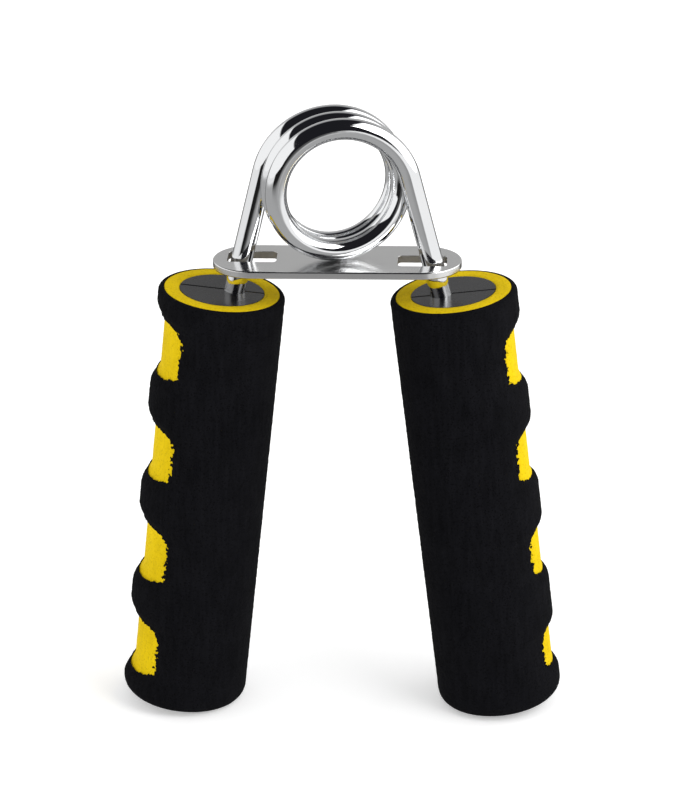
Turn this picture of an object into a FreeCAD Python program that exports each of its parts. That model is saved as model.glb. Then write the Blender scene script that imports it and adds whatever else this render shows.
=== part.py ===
import FreeCAD, Part
import math
import os
import Sketcher
from FreeCAD import Vector, Rotation, Placement

# Hand grip strengthener, millimetres.
# Frame: +Z up, +X towards the right handle, +Y to the rear, origin at the
# centre of the footprint on the surface that the handles stand on.
# The spring winds about a nearly fore-and-aft axis above the handles. The
# object has a half turn of symmetry about Z: the right-hand pieces are the
# left-hand mouldings turned by 180 degrees.

doc = FreeCAD.newDocument("hand_grip")
sheet = doc.addObject("Spreadsheet::Sheet", "dims")

DIMS = [
    # alias, value, meaning
    ("top_height", 117.8, "centre of a handle's end face above the surface"),
    ("handle_top_x", 30.22, "centre of a handle's end face from the middle"),
    ("handle_lean", 6.41, "lean of a handle from vertical, degrees"),
    ("handle_len", 117.6, "handle length along its own axis"),
    ("foam_radius", 16.7, "outer foam radius"),
    ("foam_bore", 15.25, "bore of the outer foam"),
    ("sleeve_radius", 15.2, "inner foam radius"),
    ("sleeve_bore", 11.15, "bore of the inner foam"),
    ("core_radius", 11.1, "plastic core radius"),
    ("foam_floor", 5.0, "thickness of the closed end of the outer foam"),
    ("end_gap", 0.3, "inner foam and core stop this short of the closed end"),
    ("rim_round", 1.3, "round of the outer foam's top rim"),
    ("base_round", 4.0, "round of the outer foam's bottom edge"),
    ("groove_first", 16.4, "first finger groove below the end face"),
    ("groove_pitch", 28.1, "finger groove pitch"),
    ("groove_count", 4, "finger grooves on a handle"),
    ("groove_depth", 2.8, "groove depth at the outer side"),
    ("groove_offset", 4.03, "groove axis from the handle axis, inner side"),
    ("groove_flat", 10.4, "flat width of a groove's bottom"),
    ("groove_corner", 4.0, "corner radius at a groove's bottom"),
    ("groove_mouth", 26.0, "width of the groove cutter at its rim"),
    ("groove_rim", 23.0, "radius of the groove cutter's rim"),
    ("sleeve_turn", 7.0, "turn of the foam on its core, degrees"),
    ("wire_radius", 2.8, "spring wire radius"),
    ("coil_radius", 16.8, "coil mean radius"),
    ("coil_pitch", 5.85, "coil pitch, close wound"),
    ("coil_turns", 2, "coil turns"),
    ("coil_yaw", 15.0, "yaw of the coil axis from fore and aft, degrees"),
    ("coil_height", 147.2, "coil axis above the surface"),
    ("leg_corner_x", 15.55, "where the leg's tangents meet"),
    ("leg_splay", 0.2468, "sideways run of a leg per unit of drop"),
    ("leg_level_y", 0.0, "fore and aft position of the leg at leg_level_z"),
    ("leg_level_z", 89.8, "height where the leg crosses the middle plane"),
    ("leg_end_z", 61.8, "height of the cut end of the wire"),
    ("leg_gap", 0.05, "gap between the coil's end and the leg's end"),
    ("channel_clear", 0.05, "radial clearance of the wire in the core"),
    ("channel_spare", 1.0, "channel length past the wire's end"),
    ("pin_radius", 1.5, "locating pin radius"),
    ("pin_length", 3.0, "locating pin length"),
    ("socket_radius", 1.55, "pin socket radius"),
    ("socket_depth", 3.4, "pin socket depth"),
    ("pin_upper_x", 6.5, "upper pin from the core axis"),
    ("pin_upper_z", 12.0, "upper pin below the end face"),
    ("pin_middle_x", 6.3, "middle pin from the core axis"),
    ("pin_middle_z", 46.0, "middle pin below the end face"),
    ("pin_lower_z", 103.0, "lower pin below the end face"),
    ("cavity_half", 7.0, "half width of the lightening pockets"),
    ("cavity_depth", 5.5, "depth of the lightening pockets"),
    ("cavity_one_top", 65.0, "first pocket, top"),
    ("cavity_one_end", 79.0, "first pocket, bottom"),
    ("cavity_two_top", 82.0, "second pocket, top"),
    ("cavity_two_end", 96.0, "second pocket, bottom"),
    ("seam_groove", 0.35, "half width of the V groove along the core's seam"),
    ("seam_depth", 0.4, "depth of the V groove along the core's seam"),
    ("plate_half_len", 32.4, "guide plate half length"),
    ("plate_half_wid", 10.3, "guide plate half width"),
    ("plate_thick", 2.0, "guide plate thickness"),
    ("plate_top_z", 126.76, "guide plate top above the surface"),
    ("plate_bevel", 0.35, "guide plate edge bevel"),
    ("slot_inner_x", 15.8, "slot's inner end"),
    ("slot_outer_x", 28.6, "slot's outer end"),
    ("slot_half_wid", 3.9, "slot half width"),
    ("slot_offset_y", 1.2, "slot centre line from the plate's middle"),
    ("slot_corner", 1.2, "slot corner radius"),
]
for row, (alias, value, note) in enumerate(DIMS, start=1):
    sheet.set("A%d" % row, alias)
    sheet.set("B%d" % row, str(value))
    sheet.set("C%d" % row, note)
    sheet.setAlias("B%d" % row, alias)
doc.recompute()


def dim(alias):
    return float(getattr(sheet, alias))


# ---------------------------------------------------------------- helpers

def plane(body, role):
    for feature in body.Origin.OriginFeatures:
        if feature.Role == role:
            return feature
    raise RuntimeError("no origin plane " + role)


def new_body(label):
    body = doc.addObject("PartDesign::Body", label)
    body.Label = label
    return body


def new_sketch(body, name, role, offset=None):
    sk = body.newObject("Sketcher::SketchObject", name)
    sk.AttachmentSupport = (plane(body, role), [""])
    sk.MapMode = "FlatFace"
    if offset is not None:
        sk.AttachmentOffset = offset
    return sk


def pin_point(sk, geo, pos, x, y, xe=None, ye=None, tag=""):
    """Fixes a sketch point at x, y, each bound to an expression."""
    for axis, value, expr in (("X", x, xe), ("Y", y, ye)):
        if abs(value) < 1e-9:
            line = -2 if axis == "X" else -1
            sk.addConstraint(Sketcher.Constraint("PointOnObject", geo, pos, line))
            continue
        kind = "Distance" + axis
        if value > 0:
            con = Sketcher.Constraint(kind, -1, 1, geo, pos, value)
        else:
            con = Sketcher.Constraint(kind, geo, pos, -1, 1, -value)
        index = sk.addConstraint(con)
        if expr:
            cname = "p%s%s" % (tag, axis.lower())
            sk.renameConstraint(index, cname)
            sk.setExpression("Constraints." + cname, expr)


def closed_polygon(sk, corners):
    """corners: (x, y, x_expression, y_expression); expressions give sizes
    without sign."""
    first = None
    count = len(corners)
    ids = []
    for i in range(count):
        a, b = corners[i], corners[(i + 1) % count]
        ids.append(sk.addGeometry(Part.LineSegment(
            Vector(a[0], a[1], 0), Vector(b[0], b[1], 0)), False))
    for i in range(count):
        sk.addConstraint(Sketcher.Constraint(
            "Coincident", ids[i], 2, ids[(i + 1) % count], 1))
    for i, (x, y, xe, ye) in enumerate(corners):
        pin_point(sk, ids[i], 1, x, y, xe, ye, tag="%s%d" % (chr(97 + ids[0] % 26), i))
    return ids


def circle(sk, x, y, radius, rexpr, xe=None, ye=None, tag="c"):
    geo = sk.addGeometry(Part.Circle(Vector(x, y, 0), Vector(0, 0, 1), radius), False)
    index = sk.addConstraint(Sketcher.Constraint("Radius", geo, radius))
    sk.renameConstraint(index, "radius_" + tag)
    sk.setExpression("Constraints.radius_" + tag, rexpr)
    if abs(x) < 1e-9 and abs(y) < 1e-9:
        sk.addConstraint(Sketcher.Constraint("Coincident", geo, 3, -1, 1))
    else:
        pin_point(sk, geo, 3, x, y, xe, ye, tag=tag)
    return geo


def ring_edges(feature, radius, z):
    names = []
    for i, edge in enumerate(feature.Shape.Edges, start=1):
        curve = edge.Curve
        if isinstance(curve, Part.Circle) and abs(curve.Radius - radius) < 1e-3 \
                and abs(curve.Center.z - z) < 1e-3:
            names.append("Edge%d" % i)
    if not names:
        raise RuntimeError("no ring edge at r=%g z=%g" % (radius, z))
    return names


def must_shrink(body, before, what):
    doc.recompute()
    after = body.Shape.Volume
    if not after < before - 1e-3:
        raise RuntimeError("%s removed nothing from %s" % (what, body.Label))
    return after


# ------------------------------------------------------- shared geometry

lean = math.radians(dim("handle_lean"))
HALF_TURN = Rotation(Vector(0, 0, 1), 180)


def handle_placement(side):
    """The handle's own frame: origin at the centre of its end face, local Z
    up its axis, local X towards the other handle, local Y to the rear on the
    left handle."""
    place = Placement(Vector(-dim("handle_top_x"), 0, dim("top_height")),
                      Rotation(Vector(0, 1, 0), dim("handle_lean")))
    if side == "right":
        place = Placement(Vector(0, 0, 0), HALF_TURN).multiply(place)
    return place


def bind_handle(body, side):
    body.Placement = handle_placement(side)
    sign = "-" if side == "left" else ""
    body.setExpression("Placement.Base.x", sign + "dims.handle_top_x")
    body.setExpression("Placement.Base.z", "dims.top_height")


# Coil: the axis points to the front and a little to the right. The wire
# starts at the rear of the top, goes over to the right and down, and comes
# forward by two pitches.
yaw = math.radians(dim("coil_yaw"))
coil_front = Vector(math.sin(yaw), -math.cos(yaw), 0)
coil_right = Vector(math.cos(yaw), math.sin(yaw), 0)
coil_centre = Vector(0, 0, dim("coil_height"))
rear_top = (coil_centre - coil_front * (dim("coil_pitch") * dim("coil_turns") / 2)
            + Vector(0, 0, dim("coil_radius")))

# Left leg: it leaves the coil along the wire's own direction there, bends
# down in one arc and runs straight through the plate into the handle.
leave = coil_right * dim("coil_radius") + coil_front * (dim("coil_pitch") / (2 * math.pi))
leave = leave * -1
leave.normalize()
corner = rear_top + leave * ((-dim("leg_corner_x") - rear_top.x) / leave.x)
level = Vector(0, dim("leg_level_y"), dim("leg_level_z"))
level.x = -(dim("leg_corner_x") + (corner.z - level.z) * dim("leg_splay"))
down = level - corner
down.normalize()
leg_end = corner + down * ((dim("leg_end_z") - corner.z) / down.z)
turn = leave.getAngle(down)
tangent_run = (corner - rear_top).Length - dim("leg_gap")
bend_radius = tangent_run / math.tan(turn / 2)
straight_run = (leg_end - corner).Length - tangent_run
print("leg: bend radius %.2f, turn %.2f deg, straight %.2f, end %s" % (
    bend_radius, math.degrees(turn), straight_run, tuple(round(c, 2) for c in leg_end)))

# The derived leg sizes are kept in the sheet too, so the sketches bind to it.
row = len(DIMS) + 1
for alias, value, note in (
        ("leg_bend_radius", round(bend_radius, 4), "bend radius of a leg's centre line"),
        ("leg_bend_turn", round(math.degrees(turn), 5), "turn of the bend, degrees"),
        ("leg_straight", round(straight_run, 4), "straight length of a leg")):
    sheet.set("A%d" % row, alias)
    sheet.set("B%d" % row, str(value))
    sheet.set("C%d" % row, note)
    sheet.setAlias("B%d" % row, alias)
    row += 1
doc.recompute()

parts = []

# ------------------------------------------------------------ guide plate

body = new_body("guide_plate")
hl, hw = dim("plate_half_len"), dim("plate_half_wid")
sk = new_sketch(body, "plate_outline", "XY_Plane")
reach = hl - hw
top = sk.addGeometry(Part.LineSegment(Vector(reach, hw, 0), Vector(-reach, hw, 0)), False)
left = sk.addGeometry(Part.ArcOfCircle(Part.Circle(Vector(-reach, 0, 0), Vector(0, 0, 1), hw),
                                       math.pi / 2, 3 * math.pi / 2), False)
bottom = sk.addGeometry(Part.LineSegment(Vector(-reach, -hw, 0), Vector(reach, -hw, 0)), False)
right = sk.addGeometry(Part.ArcOfCircle(Part.Circle(Vector(reach, 0, 0), Vector(0, 0, 1), hw),
                                        -math.pi / 2, math.pi / 2), False)
for a, pa, b, pb in ((top, 2, left, 1), (left, 2, bottom, 1), (bottom, 2, right, 1), (right, 2, top, 1)):
    sk.addConstraint(Sketcher.Constraint("Tangent", a, pa, b, pb))
sk.addConstraint(Sketcher.Constraint("PointOnObject", left, 3, -1))
sk.addConstraint(Sketcher.Constraint("PointOnObject", right, 3, -1))
index = sk.addConstraint(Sketcher.Constraint("Radius", left, hw))
sk.renameConstraint(index, "end_radius")
sk.setExpression("Constraints.end_radius", "dims.plate_half_wid")
index = sk.addConstraint(Sketcher.Constraint("DistanceX", -1, 1, right, 3, reach))
sk.renameConstraint(index, "right_reach")
sk.setExpression("Constraints.right_reach", "dims.plate_half_len - dims.plate_half_wid")
index = sk.addConstraint(Sketcher.Constraint("DistanceX", left, 3, -1, 1, reach))
sk.renameConstraint(index, "left_reach")
sk.setExpression("Constraints.left_reach", "dims.plate_half_len - dims.plate_half_wid")
pad = body.newObject("PartDesign::Pad", "plate_pad")
pad.Profile = sk
pad.setExpression("Length", "dims.plate_thick")
pad.Reversed = True
doc.recompute()
volume = body.Shape.Volume

sk = new_sketch(body, "plate_slots", "XY_Plane")
si, so, sw, sy = dim("slot_inner_x"), dim("slot_outer_x"), dim("slot_half_wid"), dim("slot_offset_y")
for sign in (-1, 1):
    # the left slot sits a little to the rear, the right slot to the front
    cy = -sign * sy
    xs = sorted((sign * si, sign * so))
    ex = {si: "dims.slot_inner_x", so: "dims.slot_outer_x"}
    corners = []
    for x, y in ((xs[0], cy - sw), (xs[1], cy - sw), (xs[1], cy + sw), (xs[0], cy + sw)):
        same = (y > 0) == (cy > 0)
        ye = "dims.slot_half_wid + dims.slot_offset_y" if same \
            else "dims.slot_half_wid - dims.slot_offset_y"
        corners.append((x, y, ex[abs(x)], ye))
    closed_polygon(sk, corners)
pocket = body.newObject("PartDesign::Pocket", "plate_slot_cut")
pocket.Profile = sk
pocket.Type = "ThroughAll"
doc.recompute()
volume = must_shrink(body, volume, "slots")

names = []
for i, edge in enumerate(pocket.Shape.Edges, start=1):
    a, b = edge.Vertexes[0].Point, edge.Vertexes[-1].Point
    if abs(a.x - b.x) < 1e-6 and abs(a.y - b.y) < 1e-6 and abs(a.z - b.z) > 1e-3 \
            and abs(a.y) < hw - 1 and abs(abs(a.x) - reach) > 1e-3:
        names.append("Edge%d" % i)
fillet = body.newObject("PartDesign::Fillet", "slot_corners")
fillet.Base = (pocket, names)
fillet.setExpression("Radius", "dims.slot_corner")
doc.recompute()

names = []
for i, edge in enumerate(fillet.Shape.Edges, start=1):
    box = edge.BoundBox
    flat = box.ZLength < 1e-6
    if not flat:
        continue
    mid = edge.valueAt((edge.FirstParameter + edge.LastParameter) / 2)
    on_side = abs(abs(mid.y) - hw) < 1e-4
    on_end = abs(math.hypot(abs(mid.x) - reach, mid.y) - hw) < 1e-4 and abs(mid.x) > reach
    if on_side or on_end:
        names.append("Edge%d" % i)
chamfer = body.newObject("PartDesign::Chamfer", "plate_bevel")
chamfer.Base = (fillet, names)
chamfer.setExpression("Size", "dims.plate_bevel")
doc.recompute()
volume = must_shrink(body, volume, "bevel")
body.setExpression("Placement.Base.z", "dims.plate_top_z")
parts.append(body)

# ------------------------------------------------------------ spring coil

# The coil's centre line is a left-handed helix, drawn as tangent arcs: each
# span between two points of the helix is a pair of arcs that take the
# helix's direction at both ends.
coil_r, lead = dim("coil_radius"), dim("coil_pitch")


def helix_point(t):
    return Vector(coil_r * math.cos(t), -coil_r * math.sin(t), lead * t / (2 * math.pi))


def helix_direction(t):
    d = Vector(-coil_r * math.sin(t), -coil_r * math.cos(t), lead / (2 * math.pi))
    d.normalize()
    return d


def tangent_arc(start, meet, end):
    """The arc from start to end whose end tangents meet at a point."""
    middle = (start + end) * 0.5
    angle = (meet - start).getAngle(end - meet)
    radius = (meet - start).Length / math.tan(angle / 2)
    out = meet - middle
    out.normalize()
    return Part.Arc(start, middle + out * (radius * (1 - math.cos(angle / 2))), end).toShape()


edges = []
full = 2 * math.pi * dim("coil_turns")
spans = int(dim("coil_turns") * 12)
for i in range(spans):
    a, b = full * i / spans, full * (i + 1) / spans
    p0, p1, t0, t1 = helix_point(a), helix_point(b), helix_direction(a), helix_direction(b)
    v, s = p1 - p0, t0 + t1
    qa, qb, qc = 2 * (1 - t0.dot(t1)), 2 * v.dot(s), -v.dot(v)
    reach = (-qb + math.sqrt(qb * qb - 4 * qa * qc)) / (2 * qa)
    c0, c1 = p0 + t0 * reach, p1 - t1 * reach
    join = (c0 + c1) * 0.5
    edges.append(tangent_arc(p0, c0, join))
    edges.append(tangent_arc(join, c1, p1))
helix = doc.addObject("Part::Feature", "coil_path")
helix.Shape = Part.Wire(edges)
section = doc.addObject("Part::Circle", "coil_section")
section.setExpression("Radius", "dims.wire_radius")
slope = math.atan2(lead, 2 * math.pi * coil_r)
section.Placement = Placement(Vector(coil_r, 0, 0),
                              Rotation(Vector(1, 0, 0), 90 - math.degrees(slope)))
section.setExpression("Placement.Base.x", "dims.coil_radius")
doc.recompute()
normal = section.Placement.Rotation.multVec(Vector(0, 0, 1))
if abs(abs(normal.dot(helix_direction(0))) - 1) > 1e-6:
    raise RuntimeError("the coil's section is not square to its path")
coil = doc.addObject("Part::Sweep", "spring_coil")
coil.Label = "spring_coil"
coil.Sections = [section]
coil.Spine = (helix, [])
coil.Solid = True
coil.Frenet = False
doc.recompute()
expect = math.pi * dim("wire_radius") ** 2 * helix.Shape.Length
if abs(coil.Shape.Volume - expect) > 0.002 * expect:
    raise RuntimeError("coil volume %g, expected %g" % (coil.Shape.Volume, expect))
base = coil_centre - coil_front * (dim("coil_pitch") * dim("coil_turns") / 2)
# local X (the wire's start) up, local Z to the front, local Y to the left
coil.Placement = Placement(base, Rotation(Vector(0, 0, 1), coil_right * -1, coil_front, "ZXY"))
coil.setExpression("Placement.Base.z", "dims.coil_height")
parts.append(coil)

# ------------------------------------------------------------ spring legs

for side in ("left", "right"):
    body = new_body("%s_spring_leg" % side)
    path = new_sketch(body, "%s_leg_path" % side, "XZ_Plane")
    r = dim("leg_bend_radius")
    t = math.radians(dim("leg_bend_turn"))
    s = dim("leg_straight")
    end_x, end_y = r * math.sin(t), -r + r * math.cos(t)
    arc = path.addGeometry(Part.ArcOfCircle(
        Part.Circle(Vector(0, -r, 0), Vector(0, 0, 1), r), math.pi / 2 - t, math.pi / 2), False)
    line = path.addGeometry(Part.LineSegment(
        Vector(end_x, end_y, 0),
        Vector(end_x + s * math.cos(t), end_y - s * math.sin(t), 0)), False)
    path.addConstraint(Sketcher.Constraint("Coincident", arc, 2, -1, 1))
    path.addConstraint(Sketcher.Constraint("PointOnObject", arc, 3, -2))
    path.addConstraint(Sketcher.Constraint("Tangent", arc, 1, line, 1))
    index = path.addConstraint(Sketcher.Constraint("Radius", arc, r))
    path.renameConstraint(index, "bend")
    path.setExpression("Constraints.bend", "dims.leg_bend_radius")
    index = path.addConstraint(Sketcher.Constraint("Distance", line, 1, line, 2, s))
    path.renameConstraint(index, "straight")
    path.setExpression("Constraints.straight", "dims.leg_straight")
    pin_point(path, line, 1, end_x, end_y,
              "dims.leg_bend_radius * sin(dims.leg_bend_turn * 1 deg)", None, tag="tan")
    # the last constraint fixes both coordinates; the vertical one repeats the
    # radius, so it is left out
    for i in range(path.ConstraintCount - 1, -1, -1):
        c = path.Constraints[i]
        if c.Type == "DistanceY":
            path.delConstraint(i)
    section = new_sketch(body, "%s_leg_section" % side, "YZ_Plane")
    circle(section, 0, 0, dim("wire_radius"), "dims.wire_radius")
    doc.recompute()
    pipe = body.newObject("PartDesign::AdditivePipe", "%s_leg_pipe" % side)
    pipe.Profile = section
    pipe.Spine = (path, ["Edge1", "Edge2"])
    doc.recompute()
    # local X leaves the coil, local -Z is the inside of the bend
    z_axis = leave.cross(down).cross(leave)
    z_axis.normalize()
    z_axis = z_axis * -1
    y_axis = z_axis.cross(leave)
    start = rear_top + leave * dim("leg_gap")
    place = Placement(start, Rotation(leave, y_axis, z_axis, "ZXY"))
    if side == "right":
        place = Placement(Vector(0, 0, 0), HALF_TURN).multiply(place)
    body.Placement = place
    length = r * t + s
    expect = math.pi * dim("wire_radius") ** 2 * length
    if abs(body.Shape.Volume - expect) > 0.01 * expect:
        raise RuntimeError("leg volume %g, expected %g" % (body.Shape.Volume, expect))
    parts.append(body)

# ------------------------------------------------------------ handle cores

# The wire's line in the handle's own frame.
inverse = handle_placement("left").inverse()
on_top = inverse.multVec(corner + down * 10)
local_down = inverse.Rotation.multVec(down)
wire_top = on_top + local_down * (-on_top.z / local_down.z)
seam_tilt = math.degrees(math.atan2(local_down.y, -local_down.z))
print("wire enters the core at %s, seam tilt %.3f deg" % (
    tuple(round(c, 3) for c in wire_top), seam_tilt))


def seam_offset():
    # the sketch on the XZ plane: x across, y up, normal to the front
    return Placement(Vector(0, 0, -wire_top.y), Rotation(Vector(1, 0, 0), seam_tilt))


for side in ("left", "right"):
    for half in ("front", "rear"):
        # On the right handle the frame is turned by 180 degrees, so the half
        # that is at the rear in its own frame is at the front of the object.
        own_rear = (half == "rear") == (side == "left")
        label = "%s_core_%s" % (side, half)
        body = new_body(label)
        sk = new_sketch(body, label + "_round", "XY_Plane")
        circle(sk, 0, 0, dim("core_radius"), "dims.core_radius")
        pad = body.newObject("PartDesign::Pad", label + "_bar")
        pad.Profile = sk
        pad.setExpression("Length", "dims.handle_len - dims.foam_floor - dims.end_gap")
        pad.Reversed = True
        doc.recompute()
        volume = body.Shape.Volume

        sk = new_sketch(body, label + "_split", "XZ_Plane", seam_offset())
        closed_polygon(sk, [(-20, -150, None, None), (20, -150, None, None),
                            (20, 20, None, None), (-20, 20, None, None)])
        cut = body.newObject("PartDesign::Pocket", label + "_split_cut")
        cut.Profile = sk
        cut.Type = "ThroughAll"
        cut.Reversed = own_rear
        volume = must_shrink(body, volume, "split")
        centre = body.Shape.Solids[0].CenterOfMass
        if (centre.y > 0) != own_rear and side == "left":
            raise RuntimeError("wrong half kept on " + label)

        # wire channel
        drop = local_down * -1
        spin = Rotation(Vector(0, 0, 1), drop)
        sk = new_sketch(body, label + "_channel", "XY_Plane",
                        Placement(wire_top + drop * 1.5, spin))
        circle(sk, 0, 0, dim("wire_radius") + dim("channel_clear"),
               "dims.wire_radius + dims.channel_clear")
        wire_in = (inverse.multVec(leg_end) - wire_top).Length
        cut = body.newObject("PartDesign::Pocket", label + "_channel_cut")
        cut.Profile = sk
        cut.Length = wire_in + 1.5 + dim("channel_spare")
        volume = must_shrink(body, volume, "channel")

        # V groove along the seam on the end face
        g, d = dim("seam_groove"), dim("seam_depth")
        sk = new_sketch(body, label + "_seam", "YZ_Plane", Placement(Vector(0, 0, 20), Rotation()))
        y0 = wire_top.y
        closed_polygon(sk, [(y0 - g, 0, None, None), (y0, -d, None, None),
                            (y0 + g, 0, None, None), (y0, 0.5, None, None)])
        cut = body.newObject("PartDesign::Pocket", label + "_seam_cut")
        cut.Profile = sk
        cut.Type = "ThroughAll"
        volume = must_shrink(body, volume, "seam groove")

        # lightening pockets below the wire
        sk = new_sketch(body, label + "_pockets", "XZ_Plane", seam_offset())
        c = dim("cavity_half")
        for one, two, tag in (("cavity_one_top", "cavity_one_end", "a"),
                              ("cavity_two_top", "cavity_two_end", "b")):
            a, b = -dim(one), -dim(two)
            closed_polygon(sk, [(-c, b, "dims.cavity_half", "dims." + two),
                                (c, b, "dims.cavity_half", "dims." + two),
                                (c, a, "dims.cavity_half", "dims." + one),
                                (-c, a, "dims.cavity_half", "dims." + one)])
        cut = body.newObject("PartDesign::Pocket", label + "_pocket_cut")
        cut.Profile = sk
        cut.setExpression("Length", "dims.cavity_depth")
        cut.Reversed = not own_rear
        volume = must_shrink(body, volume, "pockets")

        # locating pins on one half, sockets in the other
        sk = new_sketch(body, label + "_pins", "XZ_Plane", seam_offset())
        name = "pin" if own_rear else "socket"
        for i, (x, z, xe, ze) in enumerate((
                (-dim("pin_upper_x"), -dim("pin_upper_z"), "dims.pin_upper_x", "dims.pin_upper_z"),
                (dim("pin_middle_x"), -dim("pin_middle_z"), "dims.pin_middle_x", "dims.pin_middle_z"),
                (0, -dim("pin_lower_z"), None, "dims.pin_lower_z"))):
            circle(sk, x, z, dim(name + "_radius"), "dims.%s_radius" % name, xe, ze, tag="pin%d" % i)
        if own_rear:
            pin = body.newObject("PartDesign::Pad", label + "_pin_pad")
            pin.Profile = sk
            pin.setExpression("Length", "dims.pin_length")
            doc.recompute()
            if not body.Shape.Volume > volume + 1:
                raise RuntimeError("pins added nothing to " + label)
        else:
            cut = body.newObject("PartDesign::Pocket", label + "_socket_cut")
            cut.Profile = sk
            cut.setExpression("Length", "dims.socket_depth")
            cut.Reversed = True
            volume = must_shrink(body, volume, "sockets")
        bind_handle(body, side)
        parts.append(body)

# ------------------------------------------------------------ foam sleeves

# Finger grooves: turned about an axis set off to the inner side of the
# handle, so that they are deep on the outer side and fade out at the sides.
# The sketch lies in the XZ plane, x measured from the groove axis.
cutter_sketch = doc.addObject("Sketcher::SketchObject", "finger_groove_profile")
cutter_sketch.Placement = Placement(Vector(0, 0, 0), Rotation(Vector(1, 0, 0), 90))
bottom_r = dim("foam_radius") + dim("groove_offset") - dim("groove_depth")
rim, flat, mouth = dim("groove_rim"), dim("groove_flat") / 2, dim("groove_mouth") / 2
corner_r = dim("groove_corner")


def flank_miss(angle):
    px = bottom_r + corner_r * (1 - math.cos(angle))
    py = flat + corner_r * math.sin(angle)
    return (rim - px) * math.cos(angle) - (mouth - py) * math.sin(angle)


# flank angle: tangent to the corner arc and ending at the cutter's rim
low, high = math.radians(1), math.radians(89)
for _ in range(80):
    half = (low + high) / 2
    if flank_miss(half) > 0:
        low = half
    else:
        high = half
flank = (low + high) / 2
arc_x = bottom_r + corner_r * (1 - math.cos(flank))
arc_y = flat + corner_r * math.sin(flank)


def bound(sk, con, name, expr):
    i = sk.addConstraint(con)
    sk.renameConstraint(i, name)
    sk.setExpression("Constraints." + name, expr)


for k in range(int(dim("groove_count"))):
    mid = -(dim("groove_first") + k * dim("groove_pitch"))
    v = [Vector(x, y, 0) for x, y in (
        (-bottom_r, mid + flat), (-arc_x, mid + arc_y), (-rim, mid + mouth),
        (-rim, mid - mouth), (-arc_x, mid - arc_y), (-bottom_r, mid - flat))]
    sk = cutter_sketch
    bottom = sk.addGeometry(Part.LineSegment(v[5], v[0]), False)
    up_arc = sk.addGeometry(Part.ArcOfCircle(
        Part.Circle(Vector(-bottom_r - corner_r, mid + flat, 0), Vector(0, 0, 1), corner_r), 0, flank), False)
    up_flank = sk.addGeometry(Part.LineSegment(v[1], v[2]), False)
    rim_line = sk.addGeometry(Part.LineSegment(v[2], v[3]), False)
    low_flank = sk.addGeometry(Part.LineSegment(v[3], v[4]), False)
    low_arc = sk.addGeometry(Part.ArcOfCircle(
        Part.Circle(Vector(-bottom_r - corner_r, mid - flat, 0), Vector(0, 0, 1), corner_r), -flank, 0), False)
    for a_, pa, b_, pb, kind in (
            (bottom, 2, up_arc, 1, "Tangent"), (up_arc, 2, up_flank, 1, "Tangent"),
            (up_flank, 2, rim_line, 1, "Coincident"), (rim_line, 2, low_flank, 1, "Coincident"),
            (low_flank, 2, low_arc, 1, "Tangent"), (low_arc, 2, bottom, 1, "Tangent")):
        sk.addConstraint(Sketcher.Constraint(kind, a_, pa, b_, pb))
    where = "(dims.groove_first + %d * dims.groove_pitch)" % k
    n = str(k)
    bound(sk, Sketcher.Constraint("Radius", up_arc, corner_r), "corner_up" + n, "dims.groove_corner")
    bound(sk, Sketcher.Constraint("Radius", low_arc, corner_r), "corner_low" + n, "dims.groove_corner")
    bound(sk, Sketcher.Constraint("DistanceX", bottom, 1, -1, 1, bottom_r), "bottom" + n,
          "dims.foam_radius + dims.groove_offset - dims.groove_depth")
    bound(sk, Sketcher.Constraint("DistanceX", rim_line, 1, -1, 1, rim), "rim_up" + n, "dims.groove_rim")
    bound(sk, Sketcher.Constraint("DistanceX", rim_line, 2, -1, 1, rim), "rim_low" + n, "dims.groove_rim")
    bound(sk, Sketcher.Constraint("DistanceY", bottom, 1, -1, 1, flat - mid), "flat_low" + n,
          where + " + dims.groove_flat / 2")
    bound(sk, Sketcher.Constraint("DistanceY", bottom, 2, -1, 1, -mid - flat), "flat_up" + n,
          where + " - dims.groove_flat / 2")
    bound(sk, Sketcher.Constraint("DistanceY", rim_line, 1, -1, 1, -mid - mouth), "mouth_up" + n,
          where + " - dims.groove_mouth / 2")
    bound(sk, Sketcher.Constraint("DistanceY", rim_line, 2, -1, 1, mouth - mid), "mouth_low" + n,
          where + " + dims.groove_mouth / 2")
doc.recompute()


def groove_cutter(name):
    cutter = doc.addObject("Part::Revolution", name)
    cutter.Source = cutter_sketch
    cutter.Axis = Vector(0, 0, 1)
    cutter.Base = Vector(0, 0, 0)
    cutter.Angle = 360
    cutter.Solid = True
    cutter.Placement = Placement(Vector(0, 0, 0), Rotation(Vector(0, 0, 1), dim("sleeve_turn")))
    cutter.setExpression("Placement.Base.x", "dims.groove_offset * cos(dims.sleeve_turn * 1 deg)")
    cutter.setExpression("Placement.Base.y", "dims.groove_offset * sin(dims.sleeve_turn * 1 deg)")
    doc.recompute()
    return cutter


def round_bar(name, radius, height, top):
    """An upright cylinder whose top is at `top`; all three are expressions."""
    bar = doc.addObject("Part::Cylinder", name)
    bar.setExpression("Radius", radius)
    bar.setExpression("Height", height)
    bar.setExpression("Placement.Base.z", "%s - (%s)" % (top, height))
    return bar


def cut_away(name, base, tool):
    cut = doc.addObject("Part::Cut", name)
    cut.Base = base
    cut.Tool = tool
    doc.recompute()
    if not cut.Shape.Volume < base.Shape.Volume - 1e-3:
        raise RuntimeError("%s removed nothing" % name)
    return cut


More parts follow.
